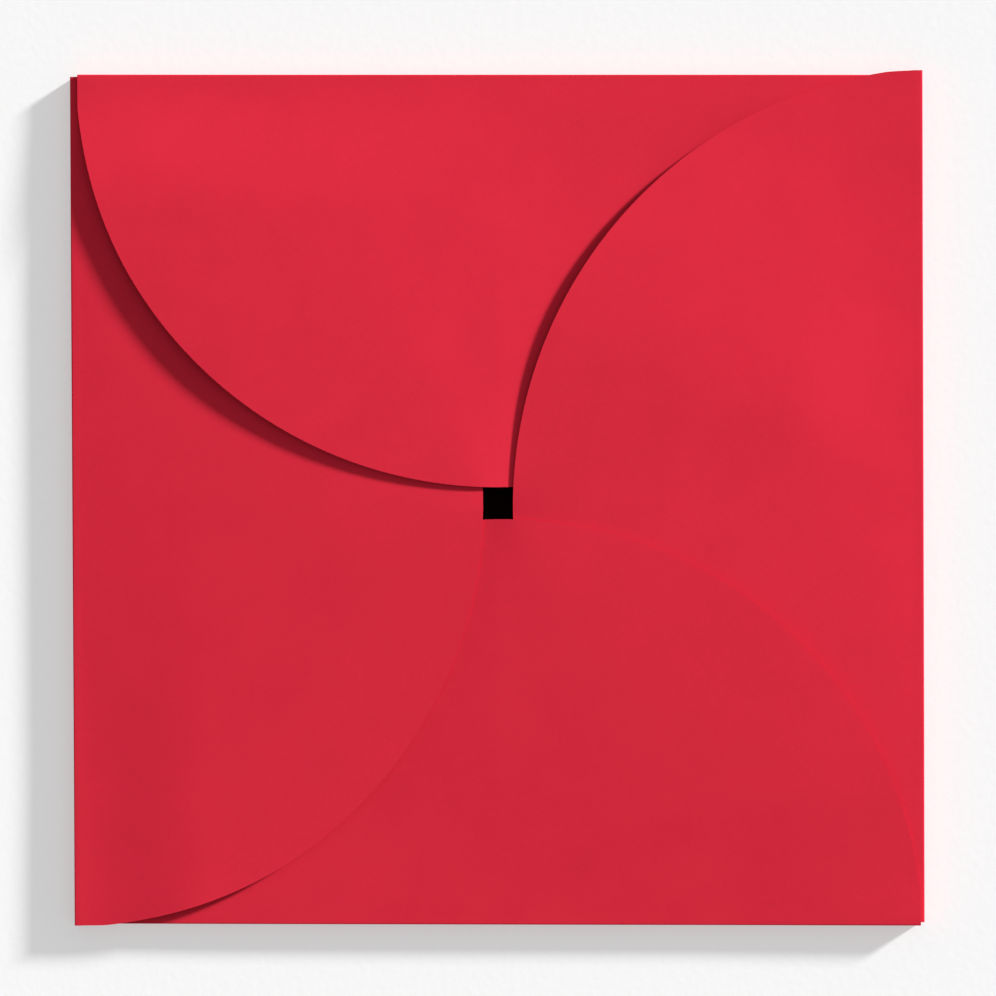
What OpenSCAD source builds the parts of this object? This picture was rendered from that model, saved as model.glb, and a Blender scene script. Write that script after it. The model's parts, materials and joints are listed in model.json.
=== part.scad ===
// Petal envelope: a square of coloured card with a round petal folded in from each side.
// Each petal lies over the next one round on its leading half and is tucked under the one
// before it on its trailing half, so the four lock each other shut round a small square window.
// The closed envelope lies on its back: the origin is the middle of the back, +Z is up through
// the window and +Y is towards the top petal.

/* [Envelope] */
// Width of the closed envelope over its folds
side = 160; // [120:1:200]
// Thickness of the card
card_t = 0.35; // [0.25:0.05:0.45]

/* [Folds] */
// Outside radius of the folded edge, half the height of the closed pocket
fold_r = 1.55; // [0.75:0.05:2]
// Clearance between pieces that pass over or turn past each other
clearance = 0.1; // [0.05:0.01:0.15]

/* [Petals] */
// Width of the square window that the petal tips leave open
window_w = 5.8; // [4:0.1:12]
// Length of the slope that lifts the raised half of a petal off its own fold
lift_run = 2; // [1:0.1:6]
// How far the free edge of the raised half springs up past the lap, at its middle
spring_up = 2.7; // [0:0.1:6]

/* [Liner] */
// Thickness of the black paper liner
liner_t = 0.12; // [0.08:0.01:0.2]
// Bare border between the liner and the edge of the back panel
liner_border = 4; // [1:0.5:20]

/* [Colours] */
// Colour of the card
card_colour = "#d92e41"; // [#d92e41, #1f4fa3, #f2e8d5, #2f6b3c]
// Colour of the liner
liner_colour = "#15110f"; // [#15110f, #f2e8d5, #b08d3c]

/* [Hidden] */
// Sides in turning order, clockwise from the top, as seen from above
$fn = 96;

// Distance from the middle of the envelope to each hinge axis, which runs inside the fold
axis_off = side / 2 - fold_r;
// Height of the hinge axis, and of the folded edge
axis_z = fold_r;
fold_h = 2 * fold_r;
// Half the length of a fold, which stops clear of the folds that turn beside it
clear_half = axis_off - fold_r - clearance;
// Underside of a tucked half, and how far a raised half climbs to pass over the tucked half beside it
tuck_z = fold_h - card_t;
lift = card_t + clearance;
// Petal outline: the circle through both ends of the fold and the tip beside the window
petal_d = axis_off - window_w / 2;
petal_r = (pow(clear_half, 2) + pow(petal_d, 2)) / (2 * petal_d);
// Half the width of the slope down the middle of a petal, which stays beside the window
lap_half = window_w / 2 - clearance;
// Rise for each millimetre away from the fold and from the middle slope, on the sprung half
spring_slope = spring_up / (petal_r * sin(45) - lap_half);
// Height that clears every sheet, and room for cutting shapes past the card
clear_z = fold_h + lift + spring_slope * side;
past = 1;

// Turns a shape drawn at the top side to another side, counted clockwise
module at_side(turn) {
    rotate([0, 0, -90 * turn]) children();
}

// Upright prism of one whole petal, from its hinge axis to its tip
module petal_prism() {
    intersection() {
        translate([0, window_w / 2 + petal_r, 0])
            cylinder(r = petal_r, h = clear_z);
        translate([-side / 2, 0, 0])
            cube([side, axis_off, clear_z]);
    }
}

// Everything below a sheet face that lies at height z at the fold and along the tucked half,
// climbs by lift beside both, and from there springs up gently towards the free edge
module below_sheet(z) {
    intersection() {
        rotate([90, 0, 0])
            linear_extrude(height = 2 * side, center = true)
                polygon([[-side, 0], [lap_half, 0], [lap_half, z], [-lap_half, z + lift],
                         [-side, z + lift + spring_slope * (side - lap_half)]]);
        rotate([90, 0, 90])
            linear_extrude(height = 2 * side, center = true)
                polygon([[0, 0], [axis_off, 0], [axis_off, z], [axis_off - lift_run, z + lift],
                         [0, z + lift + spring_slope * (axis_off - lift_run)]]);
    }
}

// Round bar along the hinge axis of the top side
module hinge_bar(r, length) {
    translate([0, axis_off, axis_z])
        rotate([0, 90, 0])
            cylinder(r = r, h = length, center = true);
}

// Square back of the envelope, with its edges cut hollow for the folds to turn in
module back_panel() {
    color(card_colour)
        difference() {
            translate([-axis_off, -axis_off, 0])
                cube([2 * axis_off, 2 * axis_off, card_t]);
            for (turn = [0:3])
                at_side(turn)
                    hinge_bar(fold_r + clearance, side);
        }
}

// Black paper pasted inside the back, which shows through the window
module liner() {
    liner_half = clear_half - liner_border;
    color(liner_colour)
        translate([-liner_half, -liner_half, card_t])
            cube([2 * liner_half, 2 * liner_half, liner_t]);
}

// Outer quarter of a tube of card round the hinge axis, which reaches up from height z
module bend_quarter(z) {
    intersection() {
        difference() {
            hinge_bar(fold_r, 2 * clear_half);
            hinge_bar(fold_r - card_t, 2 * clear_half + past);
        }
        translate([-side / 2, axis_off, z])
            cube(side);
    }
}

// Upper half of the bend of card that carries a petal
module fold(turn) {
    color(card_colour)
        at_side(turn)
            bend_quarter(axis_z);
}

// Lower half of that bend, with the rounded toe that it turns on beside the back
module heel(turn) {
    color(card_colour)
        at_side(turn) {
            bend_quarter(axis_z - side);
            intersection() {
                hinge_bar(fold_r, 2 * clear_half);
                translate([-side / 2, axis_off - fold_r, 0])
                    cube([side, fold_r, card_t]);
            }
        }
}

// Leading half of a petal, which climbs over the next petal's tucked half and springs up
module leaf(turn) {
    color(card_colour)
        at_side(turn)
            intersection() {
                petal_prism();
                difference() {
                    below_sheet(fold_h);
                    below_sheet(tuck_z);
                }
            }
}

// Trailing half of a petal, which slips under the petal before it
module tuck(turn) {
    color(card_colour)
        at_side(turn)
            intersection() {
                petal_prism();
                translate([lap_half, 0, tuck_z])
                    cube([axis_off - lift_run - lap_half, side, card_t]);
            }
}

back_panel();
liner();
fold(0);  // top_fold
heel(0);  // top_heel
leaf(0);  // top_leaf
tuck(0);  // top_tuck
fold(1);  // right_fold
heel(1);  // right_heel
leaf(1);  // right_leaf
tuck(1);  // right_tuck
fold(2);  // bottom_fold
heel(2);  // bottom_heel
leaf(2);  // bottom_leaf
tuck(2);  // bottom_tuck
fold(3);  // left_fold
heel(3);  // left_heel
leaf(3);  // left_leaf
tuck(3);  // left_tuck
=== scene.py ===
"""Petal envelope of red card: a square back, four round petals folded over it and a black liner inside,
whose near-black also stands in for the deep shade of the pocket.
"""
import json
import math
from typing import NamedTuple

import bmesh
import bpy
from bpy.props import FloatProperty, FloatVectorProperty, PointerProperty
from mathutils import Matrix, Vector
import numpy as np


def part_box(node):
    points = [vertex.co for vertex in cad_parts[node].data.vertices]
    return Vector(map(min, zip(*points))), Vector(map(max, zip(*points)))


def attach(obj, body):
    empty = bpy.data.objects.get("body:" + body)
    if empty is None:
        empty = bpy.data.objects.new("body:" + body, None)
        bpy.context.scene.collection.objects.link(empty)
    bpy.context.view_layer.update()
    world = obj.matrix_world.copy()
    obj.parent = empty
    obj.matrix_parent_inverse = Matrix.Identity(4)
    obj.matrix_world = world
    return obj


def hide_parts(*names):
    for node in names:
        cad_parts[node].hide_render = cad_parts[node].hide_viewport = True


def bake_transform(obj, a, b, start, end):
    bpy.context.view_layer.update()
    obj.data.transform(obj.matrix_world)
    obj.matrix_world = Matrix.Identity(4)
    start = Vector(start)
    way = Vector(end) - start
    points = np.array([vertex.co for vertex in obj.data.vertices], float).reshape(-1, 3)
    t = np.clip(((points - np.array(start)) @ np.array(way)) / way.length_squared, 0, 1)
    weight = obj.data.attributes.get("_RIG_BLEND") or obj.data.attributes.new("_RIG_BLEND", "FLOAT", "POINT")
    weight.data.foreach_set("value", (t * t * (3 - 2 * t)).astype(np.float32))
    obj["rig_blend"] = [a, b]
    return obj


bl_info = {
    "name": "Petal envelope",
    "version": (1, 0, 0),
    "blender": (4, 5, 0),
    "location": "3D View > Sidebar > Envelope",
    "description": "Builds a petal envelope of red card round its frame",
    "category": "Object",
}

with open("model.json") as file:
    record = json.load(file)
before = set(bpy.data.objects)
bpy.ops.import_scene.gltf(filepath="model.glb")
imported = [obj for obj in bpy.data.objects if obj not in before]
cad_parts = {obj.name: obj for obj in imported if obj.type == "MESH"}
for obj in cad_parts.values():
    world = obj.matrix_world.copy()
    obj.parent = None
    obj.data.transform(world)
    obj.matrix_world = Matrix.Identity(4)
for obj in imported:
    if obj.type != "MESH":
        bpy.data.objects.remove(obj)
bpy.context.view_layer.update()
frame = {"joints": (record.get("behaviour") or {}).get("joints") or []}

MM = 0.001
DEGREE = math.radians(1)

# Sizes that come from the frame, in metres
HINGES = {joint["child"]: joint for joint in frame["joints"]}
HALF_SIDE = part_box("top_fold")[1].y
FOLD_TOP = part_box("top_fold")[1].z
HINGE_OUT = HINGES["top_petal"]["pos_m"][1]
HINGE_UP = HINGES["top_petal"]["pos_m"][2]
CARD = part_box("back_panel")[1].z
LINER_LOW, LINER_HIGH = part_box("liner")

# Mesh density
SPOKES = 240
RINGS = 56
FOLD_STEPS = 18
BACK_CELLS = 40
FLOOR_CELLS = 8
MERGE = 1e-6
SHARP_ANGLE = 30 * DEGREE
# Values kept at each point of a fold: its height at the top, and how far out and up the point lies
FOLD_LAYERS = ("fold_top", "fold_out", "fold_rise")
# A face belongs to a cut edge if its normal's Z is below the first, or on a fold its X above the second
CUT_MAX_Z = 0.5
CUT_MIN_X = 0.8

# Ends of the folds, where a raised end passes over the tucked end beside it
TUCK_END = 79.6 * MM
END_FROM = 40 * MM
END_TO = 79 * MM
END_FADE = 30 * MM
# Angles from a petal's tip to its fold, and to where its raised edge begins to stretch to its own end
FOLD_ANGLE = 90 * DEGREE
STRETCH_FROM = 60 * DEGREE
# Rounding of the cut corner at the raised end, and the angle from the tip where it begins
CORNER_TRIM = 0.3 * MM
CORNER_FROM = 86 * DEGREE
# Width of the step from the tucked to the raised half, at the tip and for each metre towards the fold
LAP_RUN = 3 * MM
LAP_SPREAD = 0.5
# Run over which a petal climbs off its fold
CLIMB_RUN = 24 * MM
# Runs of the hollow in a tucked half, along the fold and away from it
DIP_ALONG = 60 * MM
DIP_RUN = 30 * MM
# Rounding of the liner's corners and of its rim
LINER_CORNER = 3 * MM
LINER_CORNER_STEPS = 8
LINER_BEVEL = 0.03 * MM
LINER_BEVEL_STEPS = 2

# Parts of the frame that one petal's sheet stands for
PETAL_PARTS = ("fold", "heel", "leaf", "tuck")

# Clouds, flecks and fibres in the stock: blobs in a metre and levels of detail
CLOUD_SCALE = 90
CLOUD_DETAIL = 3
FLECK_SCALE = 1400
FIBRE_SCALE = 2600
FINE_DETAIL = 2
# Length of a fibre for its width, and the two directions that fibres lie in, in radians
FIBRE_STRETCH = 7
FIBRE_TURNS = (0.5, -0.9)
# Share of each in the colour of the stock and in its tooth
CLOUD_TONE = 0.4
FLECK_TONE = 0.24
FIBRE_TONE = 0.18
FLECK_TOOTH = 0.4
FIBRE_TOOTH = 0.3
# Finish of the stock
ROUGHNESS_SPREAD = 0.12
PAPER_SPECULAR = 0.005
PAPER_BUMP = 0.35

# Floor: half its width in metres, how far it lies under the envelope, its grain and its finish
FLOOR_HALF = 3.0
FLOOR_DROP = 0.02 * MM
FLOOR_SCALE = 700
FLOOR_DETAIL = 3
FLOOR_CONTRAST = 0.015
FLOOR_ROUGHNESS = 0.95
FLOOR_TOOTH = 0.1 * MM
FLOOR_BUMP = 0.3

WHITE = (1, 1, 1, 1)
BLACK = (0, 0, 0, 1)
SEEN_RAYS = ("Camera", "Glossy", "Transmission")


class PetalCut(NamedTuple):
    """How one hand-folded petal differs from the others: sizes in metres, angles in radians."""
    side: str
    quarter_turns: int  # clockwise from the top side
    radius: float  # of the round edge
    centre_out: float  # from the folded edge out to the middle of that circle
    shift: float  # of the circle along the fold, towards the tucked half
    leaf_end: float  # from the middle of the side to the raised end of the fold
    fold_out: float  # how far the fold bulges past the square
    lean: float  # slope of the folded edge, outwards towards the tucked half
    dip: float  # depth of the hollow in the tucked half
    spring: float  # height of the crest of the free edge
    curl: float  # power with which the lift grows from the fold to the free edge
    start: float  # angle from the tip to where the free edge begins to rise
    crest: float  # angle from the tip to that crest
    settle: float  # angle from the tip to where the edge is down again


PETALS = [
    PetalCut(
        "top", 0, radius=79.7 * MM, centre_out=2.0 * MM, shift=-0.2 * MM, leaf_end=79.4 * MM,
        fold_out=0, lean=0, dip=0.6 * MM,
        spring=1.3 * MM, curl=1, start=-15 * DEGREE, crest=75 * DEGREE, settle=115 * DEGREE),
    PetalCut(
        "right", 1, radius=82.8 * MM, centre_out=5.7 * MM, shift=1.2 * MM, leaf_end=81.1 * MM,
        fold_out=0.25 * MM, lean=0.0029, dip=0.1 * MM,
        spring=0.75 * MM, curl=1, start=0, crest=32 * DEGREE, settle=75 * DEGREE),
    PetalCut(
        "bottom", 2, radius=79.4 * MM, centre_out=3.1 * MM, shift=-0.8 * MM, leaf_end=80.0 * MM,
        fold_out=0.05 * MM, lean=-0.0022, dip=0.3 * MM,
        spring=0.75 * MM, curl=2, start=0, crest=55 * DEGREE, settle=90 * DEGREE),
    PetalCut(
        "left", 3, radius=80.0 * MM, centre_out=2.7 * MM, shift=-1.1 * MM, leaf_end=80.5 * MM,
        fold_out=0.07 * MM, lean=0.006, dip=0.2 * MM,
        spring=1.0 * MM, curl=2, start=12 * DEGREE, crest=75 * DEGREE, settle=125 * DEGREE),
]


class EnvelopeShape(bpy.types.PropertyGroup):
    """Sizes of the folded card."""
    crown: FloatProperty(
        name="Crown", description="How far the closed petals bulge up over the middle",
        default=1.8 * MM, min=0, unit="LENGTH")
    lap: FloatProperty(
        name="Lap", description="Step at a petal's tip from its tucked half up to its raised half",
        default=0.46 * MM, min=0, unit="LENGTH")
    end_step: FloatProperty(
        name="End step", description="How far a fold rises at its raised end and drops at its tucked end",
        default=0.22 * MM, min=0, unit="LENGTH")
    squareness: FloatProperty(
        name="Fold squareness", description="2 folds the edge half-round, more gives it a flat wall",
        default=16, min=2, max=20)
    cut_bevel: FloatProperty(
        name="Cut edge bevel", description="Softened corner of the die-cut edge",
        default=0.006 * MM, min=0, unit="LENGTH")


class EnvelopeFinish(bpy.types.PropertyGroup):
    """Colours of the card, of its cut edges painted darker as shade, and of the liner, which also paints the
    shade of the pocket.
    """
    card_colour: FloatVectorProperty(
        name="Card", description="Colour of the dyed card",
        default=(0.69, 0.0245, 0.0495), subtype="COLOR", min=0, max=1)
    # Painted shade: the cut edges get a colour much darker than the card, though the card is dyed through,
    # so that edges facing the low key light show no bright line.
    cut_shade_colour: FloatVectorProperty(
        name="Cut edge", description="Colour of the core along a cut edge",
        default=(0.34, 0.011, 0.026), subtype="COLOR", min=0, max=1)
    # Near-black liner, its colour partly painted shade: it stands in for the deep shade of the pocket seen
    # through the middle window, and its faint red tint is painted red light bouncing off the card inside.
    liner_and_shade_colour: FloatVectorProperty(
        name="Liner", description="Colour of the paper pasted inside the back",
        default=(0.012, 0.002, 0.002), subtype="COLOR", min=0, max=1)


class EnvelopeStage(bpy.types.PropertyGroup):
    """Floor, light and camera."""
    floor_colour: FloatVectorProperty(
        name="Floor", description="Colour of the pale floor",
        default=(0.96, 0.96, 0.96), subtype="COLOR", min=0, max=1)
    shadow_lift: FloatProperty(
        name="Shadow lift", description="Share of the floor's own light, which keeps its shadows pale",
        default=0.44, min=0, max=1)
    key_strength: FloatProperty(
        name="Key", description="Strength of the low key light", default=7.4, min=0)
    key_height: FloatProperty(
        name="Key height", description="Angle of the key light above the floor",
        default=14.8 * DEGREE, subtype="ANGLE")
    key_bearing: FloatProperty(
        name="Key bearing", description="Direction of the key light, counted from +X towards +Y",
        default=33 * DEGREE, subtype="ANGLE")
    key_size: FloatProperty(
        name="Key size", description="Apparent width of the key light, which softens its shadows",
        default=7 * DEGREE, subtype="ANGLE")
    fill_strength: FloatProperty(
        name="Fill", description="Strength of the light all round", default=0.35, min=0)
    fill_lean: FloatProperty(
        name="Fill lean", description="How much more of the fill comes from the side of the key light",
        default=0.5, min=0, max=1)
    lens: FloatProperty(name="Lens", description="Focal length in millimetres", default=120, min=20)
    view_width: FloatProperty(
        name="View width", description="Width of the picture at the height of the folds",
        default=187.5 * MM, unit="LENGTH")
    view_shift: FloatVectorProperty(
        name="View centre", description="Where the picture's middle lies on the envelope",
        size=2, default=(0.1 * MM, 0.28 * MM), unit="LENGTH")


class Signal:
    """A shader socket that can be used in Python sums."""

    def __init__(self, sheet, socket):
        self.sheet = sheet
        self.socket = socket

    def _maths(self, operation, first, second):
        return self.sheet.add("ShaderNodeMath", {"operation": operation}, {0: first, 1: second})

    def __add__(self, other):
        return self._maths("ADD", self, other)

    def __radd__(self, other):
        return self._maths("ADD", other, self)

    def __sub__(self, other):
        return self._maths("SUBTRACT", self, other)

    def __rmul__(self, other):
        return self._maths("MULTIPLY", other, self)


class ShaderSheet:
    """The nodes of one material or world."""

    def __init__(self, owner):
        owner.use_nodes = True
        self.tree = owner.node_tree
        self.tree.nodes.clear()

    def add(self, kind, settings=None, inputs=None, output=0):
        """Adds a node, sets it up, fills or links its inputs, and returns one of its outputs."""
        node = self.tree.nodes.new(kind)
        for name, value in (settings or {}).items():
            setattr(node, name, value)
        for name, value in (inputs or {}).items():
            if isinstance(value, Signal):
                self.tree.links.new(value.socket, node.inputs[name])
            else:
                node.inputs[name].default_value = value
        return Signal(self, node.outputs[output]) if len(node.outputs) else None

    def noise(self, vector, scale, detail):
        """Noise from 0 to 1, with blobs about 1 / scale across."""
        values = {"Vector": vector, "Scale": scale, "Detail": detail, "Roughness": 0.5}
        return self.add("ShaderNodeTexNoise", {"normalize": True}, values)

    def stretched(self, vector, turn, stretch):
        """The vector turned about Z and squeezed along its new X, for fibres that lie one way."""
        return self.add("ShaderNodeMapping", {"vector_type": "TEXTURE"}, {
            "Vector": vector, "Rotation": (0, 0, turn), "Scale": (stretch, 1, 1)})

    def mixed(self, share, low, high):
        """A colour between two others."""
        return self.add("ShaderNodeMix", {"data_type": "RGBA"}, {0: share, 6: low, 7: high}, output=2)

    def bump(self, height, depth, strength):
        """A normal roughened by a height that is given in parts of depth."""
        return self.add("ShaderNodeBump", {}, {"Height": height, "Distance": depth, "Strength": strength})

    def seen(self):
        """1 for what is looked at, straight or in a reflection, and 0 for light on its way."""
        rays = [self.add("ShaderNodeLightPath", output=f"Is {kind} Ray") for kind in SEEN_RAYS]
        return rays[0] + rays[1] + rays[2]


def smooth_step(low, high, value):
    """0 below low, 1 above high and a soft S between."""
    share = min(1.0, max(0.0, (value - low) / (high - low)))
    return share * share * (3 - 2 * share)


def soft_limit(value):
    """The value itself near 0, levelling off at -1 and 1."""
    return value / (1 + value ** 4) ** 0.25


def shaded(colour, factor):
    """The colour made lighter or darker, with full alpha."""
    return (*(min(1.0, factor * part) for part in colour), 1.0)


def paper_material(name, colour, contrast, roughness, tooth):
    """Matte uncoated stock: cloudy dye, fine fibres lying both ways and a slight tooth."""
    material = bpy.data.materials.new(name)
    sheet = ShaderSheet(material)
    place = sheet.add("ShaderNodeTexCoord", output="Object")
    cloud = sheet.noise(place, CLOUD_SCALE, CLOUD_DETAIL)
    fleck = sheet.noise(place, FLECK_SCALE, FINE_DETAIL)
    fibre_a, fibre_b = [
        sheet.noise(sheet.stretched(place, turn, FIBRE_STRETCH), FIBRE_SCALE, FINE_DETAIL)
        for turn in FIBRE_TURNS]
    tone = CLOUD_TONE * cloud + FLECK_TONE * fleck + FIBRE_TONE * fibre_a + FIBRE_TONE * fibre_b
    grain = FLECK_TOOTH * fleck + FIBRE_TOOTH * fibre_a + FIBRE_TOOTH * fibre_b
    surface = sheet.add("ShaderNodeBsdfPrincipled", {}, {
        "Base Color": sheet.mixed(tone, shaded(colour, 1 - contrast), shaded(colour, 1 + contrast)),
        "Roughness": roughness + ROUGHNESS_SPREAD * (grain - 0.5),
        "Specular IOR Level": PAPER_SPECULAR,
        "Normal": sheet.bump(grain, tooth, PAPER_BUMP),
    })
    sheet.add("ShaderNodeOutputMaterial", {}, {"Surface": surface})
    return material


def shared_paper(name, colour, contrast, roughness, tooth):
    """The stock of that name, made on its first use."""
    return bpy.data.materials.get(name) or paper_material(name, colour, contrast, roughness, tooth)


def red_card(finish):
    """Dyed red card."""
    return shared_paper("dyed_card", finish.card_colour, contrast=0.15, roughness=0.8, tooth=0.03 * MM)


def cut_edge_shade_card(finish):
    """Card for the die-cut edges, painted darker than the card as shade so that edges facing the light show
    no bright line.
    """
    return shared_paper("cut_edge_painted_shade", finish.cut_shade_colour, contrast=0.35, roughness=0.9, tooth=0.05 * MM)


def black_liner_and_shade_paper(finish):
    """Matte black liner paper, whose near-black also paints the deep shade of the pocket and whose faint red
    tint paints red bounce light.
    """
    return shared_paper("liner_and_painted_shade", finish.liner_and_shade_colour, contrast=0.5, roughness=0.9, tooth=0.03 * MM)


def finished_object(bm, name, materials):
    """Turns the mesh into an object at the origin, smooth but for its cut corners."""
    mesh = bpy.data.meshes.new(name)
    bm.to_mesh(mesh)
    bm.free()
    for material in materials:
        mesh.materials.append(material)
    mesh.shade_smooth()
    mesh.set_sharp_from_angle(angle=SHARP_ANGLE)
    piece = bpy.data.objects.new(name, mesh)
    bpy.context.scene.collection.objects.link(piece)
    return piece


def rim_distance(cut, angle):
    """Distance from the middle of a fold to the petal's round edge, at an angle from the tip."""
    inward = HALF_SIDE + cut.centre_out - HINGE_OUT
    circle = math.sqrt(cut.radius ** 2 - (inward * math.sin(angle)) ** 2) - inward * math.cos(angle)
    fold_end = math.sqrt(cut.radius ** 2 - inward ** 2)
    if angle > 0:
        wanted = (cut.leaf_end + cut.shift) / fold_end
        share = smooth_step(STRETCH_FROM, CORNER_FROM, angle)
    else:
        wanted = (TUCK_END - cut.shift) / fold_end
        share = smooth_step(0, FOLD_ANGLE, -angle)
    trimmed = CORNER_TRIM * smooth_step(CORNER_FROM, FOLD_ANGLE, angle)
    return circle * (1 + share * (wanted - 1)) - trimmed


def spring_height(cut, angle, reach):
    """Lift of the raised half, which grows along each spoke from the fold to the free edge."""
    rise = smooth_step(cut.start, cut.crest, angle)
    fall = smooth_step(cut.crest, cut.settle, angle)
    return cut.spring * reach ** cut.curl * (rise - fall)


def petal_height(cut, shape, x, y):
    """Height of the petal's upper face over a point of the top side."""
    depth = HINGE_OUT - y
    across = cut.shift - x
    inward = HALF_SIDE + cut.centre_out - y
    reach = math.hypot(across, inward) / cut.radius
    crown = shape.crown * max(0.0, 1 - (x / HALF_SIDE) ** 2) * (1 - (y / HALF_SIDE) ** 2)
    lap_run = LAP_RUN + LAP_SPREAD * max(0.0, 1 - reach) * cut.radius
    lap = 0.5 * shape.lap * soft_limit(-x / lap_run)
    climb = smooth_step(0, CLIMB_RUN, depth)
    end = smooth_step(END_FROM, END_TO, -x) - smooth_step(END_FROM, END_TO, x)
    end_fade = 1 - smooth_step(0, END_FADE, depth)
    spring = spring_height(cut, math.atan2(across, inward), reach)
    hollow = cut.dip * math.sin(0.5 * math.pi * min(1.0, max(0.0, x / DIP_ALONG)))
    sunk = hollow * smooth_step(0, DIP_RUN, depth)
    return FOLD_TOP + crown + climb * (lap + spring) - sunk + shape.end_step * end * end_fade


def half_disc():
    """Half a disc of radius 1 below the X axis, in rings and spokes round its middle."""
    bm = bmesh.new()
    hub = bm.verts.new((0, 0, 0))
    end = bm.verts.new((-1, 0, 0))
    spoke = bm.edges.new((hub, end))
    bmesh.ops.subdivide_edges(bm, edges=[spoke], cuts=RINGS - 1)
    bmesh.ops.spin(
        bm, geom=bm.verts[:] + bm.edges[:], cent=(0, 0, 0), axis=(0, 0, 1), angle=math.pi, steps=SPOKES)
    bmesh.ops.remove_doubles(bm, verts=bm.verts[:], dist=MERGE)
    return bm


def place_in_fold(bm, vert, cut, inset):
    """Puts a point of a fold on its outer face, or that far inside it."""
    layers = bm.verts.layers.float
    bulge = HALF_SIDE - HINGE_OUT + cut.fold_out + cut.lean * vert.co.x - inset
    height = vert[layers["fold_top"]] - 2 * inset
    vert.co.y = HINGE_OUT + bulge * vert[layers["fold_out"]]
    vert.co.z = inset + height * (0.5 + 0.5 * vert[layers["fold_rise"]])


def wrap_fold(bm, cut, squareness):
    """Carries the straight side of a petal over its fold and down to the back."""
    layers = bm.verts.layers.float
    for name in FOLD_LAYERS:
        layers.new(name)
    edges = [e for e in bm.edges if all(abs(v.co.y - HINGE_OUT) < MERGE for v in e.verts)]
    for vert in {v for e in edges for v in e.verts}:
        vert[layers["fold_top"]] = vert.co.z
    power = 2 / squareness
    for step in range(1, FOLD_STEPS + 1):
        turn = math.pi * step / FOLD_STEPS
        out = abs(math.sin(turn)) ** power if step < FOLD_STEPS else 0.0
        rise = math.copysign(abs(math.cos(turn)) ** power, math.cos(turn))
        made = bmesh.ops.extrude_edge_only(bm, edges=edges)["geom"]
        moved = {item for item in made if isinstance(item, bmesh.types.BMVert)}
        for vert in moved:
            vert[layers["fold_out"]] = out
            vert[layers["fold_rise"]] = rise
            place_in_fold(bm, vert, cut, 0)
        edges = [e for e in made if isinstance(e, bmesh.types.BMEdge) and set(e.verts) <= moved]


def thicken_card(bm, cut, shape):
    """Gives the sheet its thickness and marks and softens its cut edges."""
    bmesh.ops.recalc_face_normals(bm, faces=bm.faces[:])
    highest = max(bm.faces, key=lambda face: face.calc_center_median().z)
    if highest.normal.z < 0:
        bmesh.ops.reverse_faces(bm, faces=bm.faces[:])
    pushed = bmesh.ops.solidify(bm, geom=bm.faces[:], thickness=CARD)["geom"]
    fold_out = bm.verts.layers.float["fold_out"]
    for vert in pushed:
        if isinstance(vert, bmesh.types.BMVert) and vert[fold_out] > 0:
            place_in_fold(bm, vert, cut, CARD)
    bm.normal_update()
    for face in bm.faces:
        on_petal = face.calc_center_median().y < HINGE_OUT - MERGE
        steep = abs(face.normal.z) < CUT_MAX_Z if on_petal else abs(face.normal.x) > CUT_MIN_X
        # Steep faces along the cut edges get the second material, whose darker colour paints shade on them.
        face.material_index = 1 if steep else 0
    corners = [
        e for e in bm.edges
        if len(e.link_faces) == 2 and e.link_faces[0].material_index != e.link_faces[1].material_index]
    bmesh.ops.bevel(
        bm, geom=corners, offset=shape.cut_bevel, offset_type="OFFSET", segments=1, profile=0.5,
        affect="EDGES", material=-1, clamp_overlap=True)


def petal_mesh(cut, shape):
    """One petal with its fold, in its place on the envelope."""
    bm = half_disc()
    for vert in bm.verts:
        angle = math.atan2(-vert.co.x, -vert.co.y)
        along = vert.co.length * rim_distance(cut, angle)
        x = cut.shift - along * math.sin(angle)
        y = HINGE_OUT - along * math.cos(angle)
        vert.co = (x, y, petal_height(cut, shape, x, y))
    wrap_fold(bm, cut, shape.squareness)
    thicken_card(bm, cut, shape)
    turn = Matrix.Rotation(-0.5 * math.pi * cut.quarter_turns, 3, "Z")
    bmesh.ops.rotate(bm, cent=(0, 0, 0), matrix=turn, verts=bm.verts[:])
    return bm


class ENVELOPE_OT_back(bpy.types.Operator):
    """Makes the square back that the petals fold up from"""
    bl_idname = "envelope.back"
    bl_label = "Back panel"

    def execute(self, context):
        bm = bmesh.new()
        place = Matrix.Translation((0, 0, CARD))
        bmesh.ops.create_grid(
            bm, x_segments=BACK_CELLS, y_segments=BACK_CELLS, size=HINGE_OUT, matrix=place)
        bmesh.ops.solidify(bm, geom=bm.faces[:], thickness=CARD)
        piece = finished_object(bm, "back_card", [red_card(context.scene.envelope_finish)])
        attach(piece, "back")
        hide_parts("back_panel")
        return {"FINISHED"}


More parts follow.
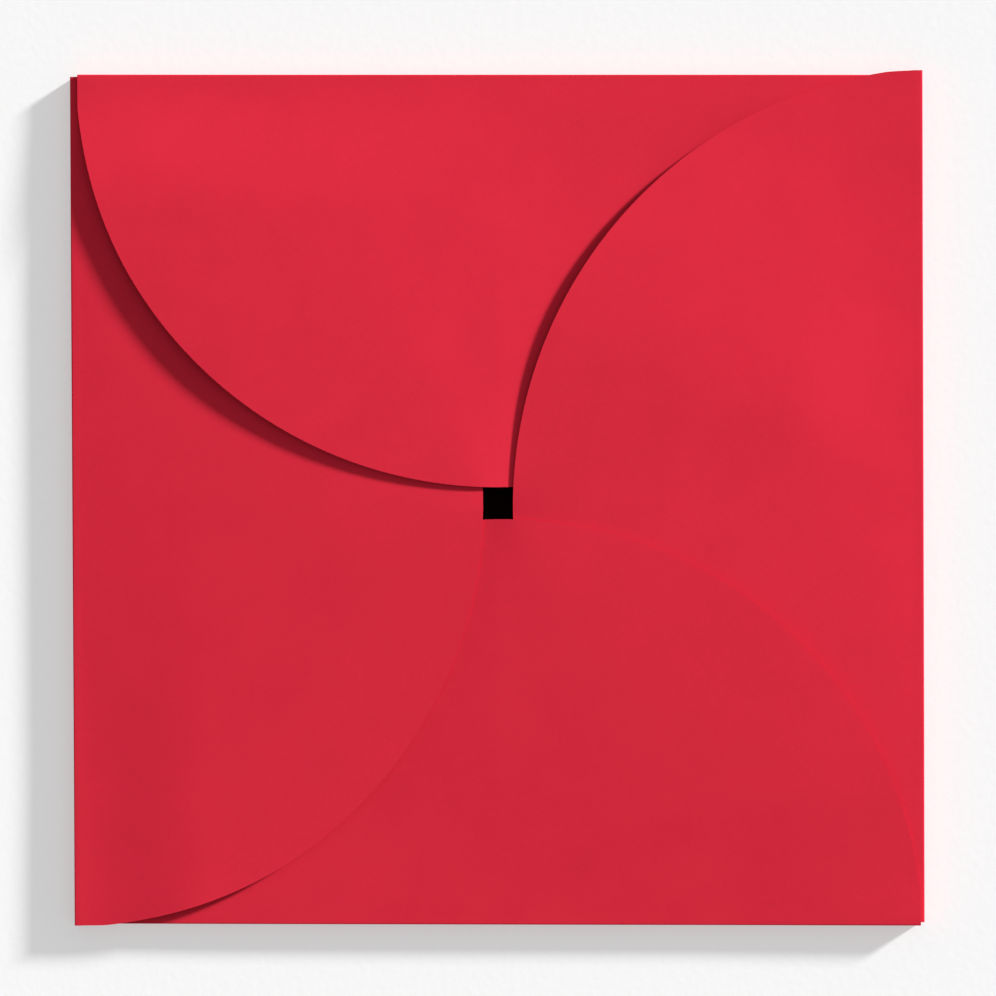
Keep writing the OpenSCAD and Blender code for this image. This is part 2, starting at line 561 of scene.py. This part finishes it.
class ENVELOPE_OT_liner(bpy.types.Operator):
    """Makes the black paper pasted inside the back, which also stands in for the shade of the pocket seen
    through the middle
    """
    bl_idname = "envelope.liner"
    bl_label = "Black liner"

    def execute(self, context):
        bm = bmesh.new()
        place = Matrix.Translation((0, 0, LINER_HIGH.z))
        bmesh.ops.create_grid(bm, x_segments=1, y_segments=1, size=LINER_HIGH.x, matrix=place)
        bmesh.ops.bevel(
            bm, geom=bm.verts[:], offset=LINER_CORNER, offset_type="OFFSET", segments=LINER_CORNER_STEPS,
            profile=0.5, affect="VERTICES", material=-1)
        bmesh.ops.solidify(bm, geom=bm.faces[:], thickness=LINER_HIGH.z - LINER_LOW.z)
        rim = [e for e in bm.edges if all(v.co.z > LINER_LOW.z + MERGE for v in e.verts)]
        bmesh.ops.bevel(
            bm, geom=rim, offset=LINER_BEVEL, offset_type="OFFSET", segments=LINER_BEVEL_STEPS,
            profile=0.5, affect="EDGES", material=-1)
        # The liner's colour paints the shade of the pocket and its red bounce light.
        piece = finished_object(bm, "black_liner_and_shade_sheet", [black_liner_and_shade_paper(context.scene.envelope_finish)])
        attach(piece, "back")
        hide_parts("liner")
        return {"FINISHED"}


class ENVELOPE_OT_petals(bpy.types.Operator):
    """Makes the four petals, each with the fold that joins it to the back"""
    bl_idname = "envelope.petals"
    bl_label = "Petals"

    def execute(self, context):
        shape = context.scene.envelope_shape
        finish = context.scene.envelope_finish
        for cut in PETALS:
            body = cut.side + "_petal"
            bm = petal_mesh(cut, shape)
            piece = finished_object(bm, body + "_card", [red_card(finish), cut_edge_shade_card(finish)])
            hinge = Vector(HINGES[body]["pos_m"])
            start = (hinge.x, hinge.y, 0)
            end = (hinge.x, hinge.y, HINGE_UP)
            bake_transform(piece, "back", body, start=start, end=end)
            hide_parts(*(f"{cut.side}_{part}" for part in PETAL_PARTS))
        return {"FINISHED"}


def floor_material(stage):
    """Pale matte floor with a very faint grain, which glows a little where it is looked at."""
    material = bpy.data.materials.new("pale_floor")
    sheet = ShaderSheet(material)
    place = sheet.add("ShaderNodeTexCoord", output="Object")
    grain = sheet.noise(place, FLOOR_SCALE, FLOOR_DETAIL)
    darker = shaded(stage.floor_colour, 1 - FLOOR_CONTRAST)
    paler = shaded(stage.floor_colour, 1 + FLOOR_CONTRAST)
    tone = sheet.mixed(grain, darker, paler)
    glow = stage.shadow_lift * sheet.seen()
    surface = sheet.add("ShaderNodeBsdfPrincipled", {}, {
        "Base Color": sheet.mixed(glow, tone, BLACK),
        "Emission Color": sheet.mixed(glow, BLACK, tone),
        "Emission Strength": 1.0,
        "Roughness": FLOOR_ROUGHNESS,
        "Specular IOR Level": 0.0,
        "Normal": sheet.bump(grain, FLOOR_TOOTH, FLOOR_BUMP),
    })
    sheet.add("ShaderNodeOutputMaterial", {}, {"Surface": surface})
    return material


class ENVELOPE_OT_stage(bpy.types.Operator):
    """Makes the floor, the light and the camera"""
    bl_idname = "envelope.stage"
    bl_label = "Stage"

    def execute(self, context):
        stage = context.scene.envelope_stage
        self.make_floor(stage)
        self.make_light(context.scene, stage)
        self.make_camera(context.scene, stage)
        context.scene.view_settings.view_transform = "Standard"
        return {"FINISHED"}

    def make_floor(self, stage):
        """The floor, just under the back."""
        bm = bmesh.new()
        place = Matrix.Translation((0, 0, -FLOOR_DROP))
        bmesh.ops.create_grid(
            bm, x_segments=FLOOR_CELLS, y_segments=FLOOR_CELLS, size=FLOOR_HALF, matrix=place)
        floor = finished_object(bm, "floor", [floor_material(stage)])

    def make_light(self, scene, stage):
        """The low key light, and a fill that is stronger on the same side."""
        level = Vector((math.cos(stage.key_bearing), math.sin(stage.key_bearing), 0))
        towards = level * math.cos(stage.key_height) + Vector((0, 0, math.sin(stage.key_height)))
        lamp = bpy.data.lights.new("key", "SUN")
        lamp.energy = stage.key_strength
        lamp.angle = stage.key_size
        key = bpy.data.objects.new("key", lamp)
        key.rotation_euler = (-towards).to_track_quat("-Z", "Y").to_euler()
        scene.collection.objects.link(key)
        world = bpy.data.worlds.new("studio")
        sheet = ShaderSheet(world)
        direction = sheet.add("ShaderNodeTexCoord", output="Generated")
        side = sheet.add(
            "ShaderNodeVectorMath", {"operation": "DOT_PRODUCT"},
            {0: direction, 1: stage.fill_lean * level}, output="Value")
        strength = stage.fill_strength * (1 + side)
        light = sheet.add("ShaderNodeBackground", {}, {"Color": WHITE, "Strength": strength})
        backdrop = sheet.add("ShaderNodeBackground", {}, {
            "Color": shaded(stage.floor_colour, 1), "Strength": 1.0})
        shown = sheet.add("ShaderNodeMixShader", {}, {0: sheet.seen(), 1: light, 2: backdrop})
        sheet.add("ShaderNodeOutputWorld", {}, {"Surface": shown})
        scene.world = world

    def make_camera(self, scene, stage):
        """The camera, straight above the envelope."""
        lens = bpy.data.cameras.new("camera")
        lens.lens = stage.lens
        distance = stage.view_width * stage.lens / lens.sensor_width
        camera = bpy.data.objects.new("camera", lens)
        camera.location = (*stage.view_shift, FOLD_TOP + distance)
        scene.collection.objects.link(camera)
        scene.camera = camera


class VIEW3D_PT_envelope(bpy.types.Panel):
    """Buttons that build the envelope and the values that shape it"""
    bl_label = "Petal envelope"
    bl_idname = "VIEW3D_PT_envelope"
    bl_space_type = "VIEW_3D"
    bl_region_type = "UI"
    bl_category = "Envelope"

    def draw(self, context):
        for operator in OPERATORS:
            self.layout.operator(operator.bl_idname)
        for settings in SETTINGS:
            group = getattr(context.scene, settings)
            for name in group.bl_rna.properties.keys():
                if name not in {"rna_type", "name"}:
                    self.layout.prop(group, name)


SETTINGS = {
    "envelope_shape": EnvelopeShape,
    "envelope_finish": EnvelopeFinish,
    "envelope_stage": EnvelopeStage,
}
OPERATORS = [ENVELOPE_OT_back, ENVELOPE_OT_liner, ENVELOPE_OT_petals, ENVELOPE_OT_stage]
CLASSES = [*SETTINGS.values(), *OPERATORS, VIEW3D_PT_envelope]


def register():
    for cls in CLASSES:
        bpy.utils.register_class(cls)
    for name, group in SETTINGS.items():
        setattr(bpy.types.Scene, name, PointerProperty(type=group))


def unregister():
    for name in SETTINGS:
        delattr(bpy.types.Scene, name)
    for cls in reversed(CLASSES):
        bpy.utils.unregister_class(cls)


def main():
    register()
    bpy.ops.envelope.back()
    bpy.ops.envelope.liner()
    bpy.ops.envelope.petals()
    bpy.ops.envelope.stage()


if __name__ == "__main__":
    main()
